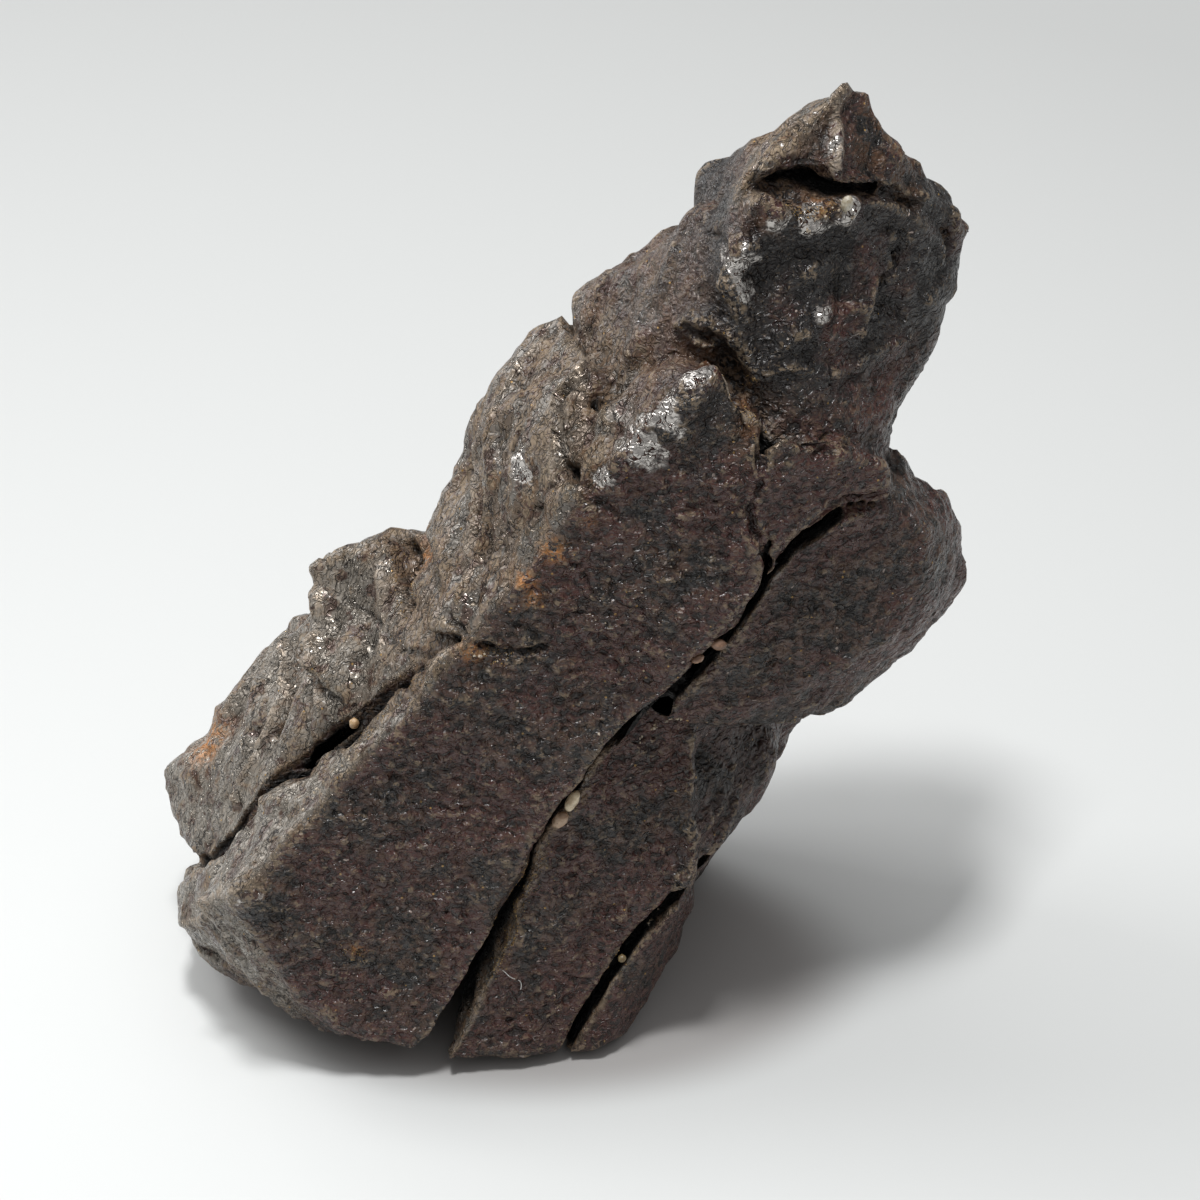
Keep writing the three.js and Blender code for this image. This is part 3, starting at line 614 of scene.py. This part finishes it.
# Fine relief: leathery dimples with short wrinkles; on the flank and the glossy lumps, long crests
# like creased foil.
bent_place = nodes.add("ShaderNodeVectorMath", {
    0: nodes.add("ShaderNodeTexNoise", {"Vector": place, "Scale": 2.2, "Detail": 0}).outputs["Color"],
    1: (0.45, 0.45, 0.45), 2: place}, operation="MULTIPLY_ADD").outputs[0]
flattened = nodes.add("ShaderNodeVectorMath", {0: bent_place, 1: (1, 1, 1.5)},
                      operation="MULTIPLY").outputs[0]
down_fold = nodes.add("ShaderNodeVectorMath", {0: bent_place, 1: tuple(FOLD_WAY)},
                      operation="DOT_PRODUCT").outputs["Value"]
down_fold = nodes.add("ShaderNodeVectorMath", {0: tuple(-0.6 * FOLD_WAY), "Scale": down_fold},
                      operation="SCALE").outputs[0]
drawn_place = nodes.add("ShaderNodeVectorMath", {0: bent_place, 1: down_fold},
                        operation="ADD").outputs[0]
dimple = nodes.add("ShaderNodeTexVoronoi", {"Vector": flattened, "Scale": 1.9}).outputs["Distance"]
dimple = nodes.range(dimple, 0.08, 0.85, 0.2, 0.62)
wrinkle = nodes.crests(flattened, 1.3, 1, 0.07)
long_crest = nodes.crests(drawn_place, 1.1, 2, 0.025)
short_crest = nodes.crests(drawn_place, 2.3, 1, 0.035)
streaky = nodes.noise(drawn_place, 0.9, 2, 0.5)
plates = nodes.range(nodes.noise(drawn_place, 0.7, 2), 0.49, 0.515)
small_plates = nodes.range(nodes.noise(bent_place, 1.4, 1), 0.50, 0.53)
swell = nodes.noise(flattened, 1.0, 2)
pinhole_shade = specks(nodes, place, 1.5, 0.3, 0.17)
crease = nodes.crests(bent_place, 2.1, 1, 0.035)
gloss_and_painted_highlight = nodes.total((glossy, 1), (patchy, 2.5), (-1.2, 1))
gloss_and_painted_highlight = nodes.math("MULTIPLY", nodes.range(gloss_and_painted_highlight, 0.35, 0.65), nodes.range(glossy, 0.08, 0.3))
leather = nodes.total((dimple, 0.65), (wrinkle, 0.16), (swell, 0.9), (-0.55, 1))
net = nodes.math("MULTIPLY", nodes.crests(bent_place, 1.6, 1, 0.022), nodes.range(patchy, 0.48, 0.56))
crackle = nodes.math("MAXIMUM", nodes.crests(drawn_place, 0.75, 2, 0.014), net)
foil = nodes.total((long_crest, 0.20), (short_crest, 0.12), (streaky, 0.35), (swell, 0.5), (crackle, -0.25),
                   (plates, 0.22), (small_plates, 0.14))
relief = nodes.number(flank_side, leather, foil)
crackled = nodes.total((swell, 1.2), (crease, -0.30), (-0.25, 1))
grit = nodes.total((grainy, 0.22), (nodes.math("MULTIPLY", grainy, flank_side), -0.16))
smooth_relief = nodes.number(gloss_and_painted_highlight, nodes.math("ADD", relief, grit), crackled)
bump = nodes.add("ShaderNodeBump", {"Height": smooth_relief, "Strength": 1.0, "Distance": RELIEF_DEPTH * MM})

# The black and maroon crust, with painted shade in its dimples, lighter and browner on their rims.
color = nodes.mix(nodes.range(patchy, 0.42, 0.58), BLACK_CRUST, UMBER)
color = nodes.mix(nodes.math("MULTIPLY", nodes.range(broad, 0.40, 0.55), 0.75), color, MAROON)
rims = nodes.math("MULTIPLY", nodes.range(leather, 0.22, 0.36), nodes.range(grainy, 0.46, 0.54))
color = nodes.mix(nodes.math("MULTIPLY", rims, 0.32), color, BROWN_VARNISH)
# Painted shade: the low parts of the dimples are painted near black.
color = nodes.mix(nodes.math("MULTIPLY", nodes.range(leather, 0.20, 0.08), 0.8), color, PAINTED_SHADE_BLACK)
# The flank's grey and brown varnish: plates of it, worn pale on the crests, with dark crackle lines.
browner = nodes.total((plates, 0.5), (nodes.range(streaky, 0.45, 0.55), 0.5))
varnish = nodes.mix(browner, GREY_VARNISH, BROWN_VARNISH)
varnish = nodes.mix(nodes.math("MULTIPLY", nodes.range(patchy, 0.45, 0.40), 0.8), varnish, UMBER)
tan_patch = nodes.math("MULTIPLY", nodes.range(streaky, 0.53, 0.57), nodes.range(grainy, 0.47, 0.53))
varnish = nodes.mix(nodes.math("MULTIPLY", tan_patch, 0.7), varnish, WORN_TAN)
pale_line = nodes.math("MULTIPLY", nodes.math("MAXIMUM", long_crest, short_crest),
                       nodes.range(patchy, 0.47, 0.53))
varnish = nodes.mix(nodes.math("MULTIPLY", pale_line, 0.55), varnish, WORN_TAN)
# Painted light on the left end's facets.
varnish = nodes.mix(nodes.math("MULTIPLY", left_painted_light, nodes.range(patchy, 0.40, 0.55)), varnish, LEFT_END_PAINTED_LIGHT)
varnish = nodes.mix(nodes.math("MULTIPLY", crackle, 0.85), varnish, BLACK_CRUST)
color = nodes.mix(flank_side, color, varnish)
# The darker and browner parts, painted shade, the worn edges, the stains, the specks, painted glints and the
# silvery polish with its painted highlight.
color = nodes.mix(nodes.math("MULTIPLY", upper_end, nodes.range(broad, 0.68, 0.5)), color, BLACK_CRUST)
# Painted shade on the foot and under the right lobe.
color = nodes.mix(nodes.math("MULTIPLY", painted_shade_under, 0.75), color, PAINTED_SHADE_BLACK)
color = nodes.mix(nodes.math("MULTIPLY", browned, nodes.range(patchy, 0.42, 0.54)), color, BROWN_CRUST)
worn = nodes.math("MULTIPLY", nodes.range(edge, 0.1, 0.7), nodes.range(grainy, 0.47, 0.53))
color = nodes.mix(nodes.math("MULTIPLY", worn, 0.65), color, WORN_TAN)
worn_crest = nodes.math("MULTIPLY", crest_line, nodes.range(grainy, 0.38, 0.46))
color = nodes.mix(nodes.math("MULTIPLY", worn_crest, 0.8), color, WORN_PALE)
color = nodes.mix(nodes.math("MULTIPLY", nodes.range(dusty, 0.58, 0.66), 0.3), color, WORN_TAN)
stain = nodes.math("MULTIPLY", rusty, nodes.range(grainy, 0.40, 0.50))
color = nodes.mix(stain, color, nodes.mix(nodes.range(dusty, 0.52, 0.62), RUST, WORN_TAN))
color = nodes.mix(specks(nodes, place, 1.7, 0.16, 0.15), color, OCHRE)
# Painted glints: small pale specks.
color = nodes.mix(specks(nodes, flattened, 1.1, 0.25, 0.12), color, PAINTED_GLINT)
# Painted shade in pinholes: small near-black dots.
color = nodes.mix(nodes.math("MULTIPLY", pinhole_shade, 0.6), color, PAINTED_SHADE_BLACK)
# Painted shade in the dents, deep folds and hair cracks.
color = nodes.mix(nodes.math("MULTIPLY", hollow, 0.7), color, PAINTED_SHADE_BLACK)
# Painted highlight: the glossy patches are painted pale silver, with crust colour in their creases; their low
# roughness and metal share are real gloss.
painted_highlight_color = nodes.mix(nodes.range(crease, 0.2, 0.6), PAINTED_HIGHLIGHT_SILVER, UMBER)
color = nodes.mix(gloss_and_painted_highlight, color, painted_highlight_color)
# Dust on the lips of the cracks, and painted shade inside them.
crack_lip = nodes.math("MULTIPLY", nodes.range(shut_in, 0.25, 0.4), nodes.range(grainy, 0.47, 0.55))
color = nodes.mix(nodes.math("MULTIPLY", crack_lip, 0.7), color, BROWN_VARNISH)
color = nodes.mix(nodes.range(shut_in, 0.42, 0.75), color, PAINTED_SHADE_BLACK)

# The varnish shines in patches; the dust, the stains and the cracks stay dull.
sheen = nodes.range(grainy, 0.40, 0.60, 0.24, 0.44)
satin = nodes.math("MULTIPLY", flank_side, nodes.range(streaky, 0.55, 0.45))
dull = nodes.math("MAXIMUM", stain, nodes.math("MULTIPLY", flank_side, tan_patch))
sheen = nodes.number(gloss_and_painted_highlight, sheen, 0.22)
sheen = nodes.total((sheen, 1), (satin, -0.12), (shut_in, 0.35), (dull, 0.25), (painted_shade_under, 0.15))
metal = nodes.total((gloss_and_painted_highlight, 0.8), (satin, 0.4))
links = nodes.tree.links
links.new(color, skin_shader.inputs["Base Color"])
links.new(sheen, skin_shader.inputs["Roughness"])
links.new(metal, skin_shader.inputs["Metallic"])
links.new(bump.outputs["Normal"], skin_shader.inputs["Normal"])
skin_shader.inputs["IOR"].default_value = 1.52
skin.materials.clear()
skin.materials.append(crust)

# ---- the sand grains ----
# Seven worn grains of desert sand, quartz and feldspar, that the cracks have caught. They are only
# wedged there, so they stand a hair clear of the stone all round.
GRAINS = {
    "sand_grain_white": ("quartz_sand", (0.68, 0.58, 0.42), (0.42, 0.32, 0.20)),
    "sand_grain_pink": ("feldspar_sand", (0.46, 0.33, 0.23), (0.24, 0.15, 0.09)),
    "sand_grain_rim_upper": ("feldspar_sand", (0.36, 0.22, 0.15), (0.18, 0.10, 0.06)),
    "sand_grain_rim_lower": ("feldspar_sand", (0.32, 0.19, 0.12), (0.16, 0.09, 0.06)),
    "sand_grain_cap": ("quartz_sand", (0.60, 0.56, 0.47), (0.34, 0.29, 0.20)),
    "sand_grain_side": ("feldspar_sand", (0.60, 0.42, 0.24), (0.34, 0.20, 0.09)),
    "sand_grain_small_crack": ("feldspar_sand", (0.30, 0.24, 0.12), (0.16, 0.11, 0.05)),
}
GRAIN_STRAY = 0.03
GRAIN_SWELL = 1.04
FROSTING_DEPTH = 0.05


def sand_mottle_group():
    """The two colours of sand, in soft mottles."""
    group = bpy.data.node_groups.new("sand_mottle", "ShaderNodeTree")
    for name, kind in (("Place", "Vector"), ("Per mm", "Float"), ("Detail", "Float"),
                       ("Light", "Color"), ("Dark", "Color")):
        group.interface.new_socket(name, in_out="INPUT", socket_type="NodeSocket" + kind)
    group.interface.new_socket("Color", in_out="OUTPUT", socket_type="NodeSocketColor")
    nodes = Nodes(group)
    given = nodes.add("NodeGroupInput").outputs
    share = nodes.range(nodes.noise(given["Place"], given["Per mm"], given["Detail"]), 0.4, 0.6)
    nodes.add("NodeGroupOutput", {"Color": nodes.mix(share, given["Light"], given["Dark"])})
    return group


SAND_MOTTLE = sand_mottle_group()


def sand_mottle(nodes, per_mm, detail, light, dark):
    inputs = {"Place": millimetres(nodes), "Per mm": per_mm, "Detail": detail, "Light": (*light, 1),
              "Dark": (*dark, 1)}
    return nodes.add("ShaderNodeGroup", inputs, node_tree=SAND_MOTTLE).outputs["Color"]


for name, (slot, light, dark) in GRAINS.items():
    grain = new_object(name + "_worn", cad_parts[name].data.copy())
    weld(grain.data)
    grain.modifiers.new("rounded", "SUBSURF").levels = 3
    bake_modifiers(grain)
    points = points_of(grain.data)
    middle = points.mean(axis=0)
    stray = GRAIN_STRAY * smooth_noise(points, 0.25, 31)[:, None]
    write_points(grain.data, middle + (points - middle) * (GRAIN_SWELL + stray))
    grain.data.polygons.foreach_set("use_smooth", [True] * len(grain.data.polygons))

    sand, nodes, shader = new_material(name)
    place = millimetres(nodes)
    color = sand_mottle(nodes, 1.6, 4, light, dark)
    color = nodes.mix(specks(nodes, place, 5, 0.15, 0.3), color, dark)
    nodes.tree.links.new(color, shader.inputs["Base Color"])
    frosting = nodes.add("ShaderNodeBump", {
        "Height": nodes.noise(place, 7, 3), "Strength": 0.6,
        "Distance": FROSTING_DEPTH * MM})
    nodes.tree.links.new(frosting.outputs["Normal"], shader.inputs["Normal"])
    shader.inputs["Roughness"].default_value = 0.38
    shader.inputs["Subsurface Weight"].default_value = 0.25
    shader.inputs["Subsurface Radius"].default_value = (0.3 * MM, 0.25 * MM, 0.2 * MM)
    grain.data.materials.clear()
    grain.data.materials.append(sand)
    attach(grain, "root")
    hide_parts(name)

# ---- the dust and the chips ----
# Fine golden desert dust that clings along the crack lips and in the hollows, and a few pale chips that stand
# in for glints on the crust's edges, as painted highlights. Each speck is sunk by its own half-height into
# the crust that it sticks to.
DUST_LINES = [   # (route, spread across it, number of specks)
    ([(-0.5, -10.8, 15), (-1.5, -11, 13.5), (-2.5, -11.2, 11), (-3, -11.5, 9), (-3.7, -12, 7)], 0.35, 520),
    ([(0.5, -10.5, 17.5), (1.5, -10, 19)], 0.3, 70),
    ([(12.8, -4, 54.3), (14.3, -3.8, 54.2), (15.5, -3.3, 54.3)], 0.35, 220),
    ([(10, -6.3, 44.8), (10.8, -7.5, 44.6), (11.2, -8.7, 43.2)], 0.3, 160),
    ([(-13, -9, 20), (-10.5, -9, 23.5), (-8.5, -9, 25.5), (-7, -8.5, 26.5)], 0.4, 200),
    ([(-8.6, 0.5, 29), (-9, -2.5, 28.5), (-8.5, -4.5, 28)], 0.35, 120),
    ([(-5, -10, 30), (-4, -10.6, 29.4), (-2, -10.6, 29.3)], 0.25, 120),
    ([(-12.3, -12.4, 9.5), (-11.2, -12.4, 9.2)], 0.35, 60),
    ([(3, -10.6, 5.5), (4.5, -10, 8)], 0.3, 50),
]
# The same for the chips.
GLINT_CHIP_LINES = [
    ([(5, -8.7, 22), (6, -8.8, 22.6), (7, -9, 23.4), (7.8, -9, 23.4)], 0.12, 26),
    ([(-4.8, -10, 29.6), (-4, -10.6, 29.3), (-3, -10.6, 29.1)], 0.15, 12),
    ([(-14, -10.3, 19.3), (-12.6, -10.6, 20.8), (-11.5, -10.6, 22)], 0.4, 16),
    ([(5.5, -9, 8.3), (6.3, -8.7, 8.8)], 0.2, 8),
    ([(16.6, -2.8, 54.2), (14, -4.6, 53.2)], 0.3, 10),
    ([(-1, -12, 3.5), (-4, -12.3, 9), (8, -9.5, 36), (1, -10.5, 30)], 0.4, 14),
]
# The faces of one speck. Corner 0 is +x, 1 is -x, then the same for y and z.
OCTAHEDRON = [(0, 2, 4), (2, 1, 4), (1, 3, 4), (3, 0, 4), (2, 0, 5), (1, 2, 5), (3, 1, 5), (0, 3, 5)]


def scatter(name, lines, sizes, material, seed):
    """Tiny angular specks, pressed on the stone's skin along the lines."""
    draw = np.random.default_rng(seed)
    tree = skin_tree(skin)
    corners, faces = [], []
    for route, spread, count in lines:
        stops = np.array(route)
        lengths = np.linalg.norm(np.diff(stops, axis=0), axis=1)
        for _ in range(count):
            leg = draw.choice(len(lengths), p=lengths / lengths.sum())
            spot = stops[leg] + draw.uniform() * (stops[leg + 1] - stops[leg])
            spot = spot + draw.normal(size=3) * spread
            found = tree.find_nearest(Vector(spot))
            radii = draw.uniform(*sizes) * draw.uniform(0.5, 1, size=3)
            turn = Quaternion(draw.normal(size=4)).normalized().to_matrix()
            first = len(corners)
            for axis, sign in product(range(3), (1, -1)):
                corner = Vector((0, 0, 0))
                corner[axis] = sign * radii[axis]
                corners.append((found[0] + turn @ corner) * MM)
            faces += [[first + i for i in face] for face in OCTAHEDRON]
    mesh = bpy.data.meshes.new(name)
    mesh.from_pydata(corners, [], faces)
    mesh.materials.append(material)
    piece = new_object(name, mesh)
    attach(piece, "root")


def plain_sand(name, light, dark):
    sand, nodes, shader = new_material(name)
    nodes.tree.links.new(sand_mottle(nodes, 4, 2, light, dark), shader.inputs["Base Color"])
    shader.inputs["Roughness"].default_value = 0.5
    return sand


golden = plain_sand("golden_dust", (0.50, 0.33, 0.13), (0.26, 0.15, 0.05))
pale = plain_sand("painted_glint_chips", (0.58, 0.50, 0.40), (0.36, 0.28, 0.19))
scatter("golden_dust", DUST_LINES, (0.02, 0.06), golden, 41)
scatter("painted_glint_chips", GLINT_CHIP_LINES, (0.05, 0.16), pale, 42)

# ---- the lint fibre ----
# One curled white textile fibre, stuck by its own charge to the middle slab's face.
FIBRE_WIDTH = 0.05
FIBRE_LIFT = 0.04
# Its stops across the face: (x, z).
FIBRE_ROUTE = [(-3.6, 7.4), (-3.1, 7.25), (-2.8, 6.9), (-2.6, 6.5), (-2.1, 6.4), (-1.9, 6.0), (-2.0, 5.6)]

tree = skin_tree(skin)
strand = bpy.data.curves.new("strand", "CURVE")
strand.dimensions = "3D"
strand.bevel_depth = FIBRE_WIDTH / 2 * MM
strand.resolution_u = 6
line = strand.splines.new("NURBS")
line.points.add(len(FIBRE_ROUTE) - 1)
line.use_endpoint_u = True
for stop, (x, z) in zip(line.points, FIBRE_ROUTE):
    on_skin = tree.ray_cast(Vector((x, -20, z)), Vector((0, 1, 0)))[0]
    stop.co = (*((on_skin + Vector((0, -FIBRE_LIFT, 0))) * MM), 1)
drawn = new_object("strand", strand)
view = bpy.context.evaluated_depsgraph_get()
view.update()
lint = new_object("lint_fibre", bpy.data.meshes.new_from_object(drawn.evaluated_get(view)))
bpy.data.objects.remove(drawn)
lint.data.materials.append(plain_sand("lint", (0.75, 0.75, 0.72), (0.55, 0.54, 0.52)))
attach(lint, "root")

# ---- the table, the light and the camera ----
# A plain white table top with a painted falloff of light, darker towards the distance, two lamps, a big
# window behind on the left and a soft sky. None of them is part of the object.
TABLE_REACH = 2
TABLE_CORNERS = ((-1, -1), (1, -1), (1, 1), (-1, 1))

table_mesh = bpy.data.meshes.new("table")
table_mesh.from_pydata([(x * TABLE_REACH, y * TABLE_REACH, 0) for x, y in TABLE_CORNERS], [], [(0, 1, 2, 3)])
table = new_object("table", table_mesh)
white, nodes, table_shader = new_material("white_table")
# Painted falloff of light: the table darkens with distance from a point in front of the stone and to its
# left.
away = nodes.add("ShaderNodeVectorMath", {0: millimetres(nodes), 1: (-17, -27, 0)},
                 operation="DISTANCE").outputs["Value"]
painted_falloff = nodes.add("ShaderNodeMapRange", {
    "Value": away, "From Min": 30, "From Max": 160, "To Min": 0, "To Max": 1}).outputs["Result"]
paper = nodes.mix(painted_falloff, (0.76, 0.775, 0.77), (0.57, 0.58, 0.575))
# A painted contact shadow: the table is darker round the stone's foot.
round_foot = nodes.add("ShaderNodeVectorMath", {0: millimetres(nodes), 1: (0.62, 1, 1), 2: (0.6, 3, 0)},
                       operation="MULTIPLY_ADD").outputs[0]
near_foot = nodes.add("ShaderNodeVectorMath", {0: round_foot}, operation="LENGTH").outputs["Value"]
paper = nodes.mix(nodes.range(near_foot, 13.5, 9, 0, 0.6), paper, (0.22, 0.19, 0.18))
nodes.tree.links.new(paper, table_shader.inputs["Base Color"])
table_shader.inputs["Roughness"].default_value = 0.6
table_mesh.materials.append(white)


def softbox(name, place, aim, size, power):
    light = bpy.data.lights.new(name, "AREA")
    light.size = size
    light.energy = power
    lamp = new_object(name, light)
    lamp.location = place
    lamp.rotation_euler = (Vector(aim) - Vector(place)).to_track_quat("-Z", "Y").to_euler()


softbox("ceiling_lamp", (-0.03, -0.05, 0.40), (0, 0, 0.02), 0.06, 0.95)
softbox("left_lamp", (-0.24, 0.08, 0.34), (0, 0, 0.02), 0.14, 0.45)
softbox("window", (-0.45, 0.45, 0.20), (0, 0, 0.02), 0.45, 1.5)
room = bpy.data.worlds.new("room")
bpy.context.scene.world = room
room.use_nodes = True
nodes = Nodes(room.node_tree)
way = nodes.add("ShaderNodeSeparateXYZ", {0: nodes.add("ShaderNodeTexCoord").outputs["Generated"]})
glow = nodes.add("ShaderNodeMapRange", {
    "Value": way.outputs["Z"], "From Min": 0, "From Max": 1, "To Min": 0.08, "To Max": 0.58})
nodes.tree.links.new(glow.outputs["Result"], room.node_tree.nodes["Background"].inputs["Strength"])
room.node_tree.nodes["Background"].inputs["Color"].default_value = (1, 1, 1, 1)

AIM = Vector((2.7, 0.25, 25.5)) * MM
DISTANCE = 0.25
ELEVATION = math.radians(35)
lens = bpy.data.cameras.new("camera")
lens.lens = 127.5
lens.sensor_width = 36
lens.clip_start = 0.01
camera = new_object("camera", lens)
camera.location = AIM + DISTANCE * Vector((0, -math.cos(ELEVATION), math.sin(ELEVATION)))
camera.rotation_euler = (math.pi / 2 - ELEVATION, 0, 0)
bpy.context.scene.camera = camera
bpy.context.scene.view_settings.view_transform = "Standard"
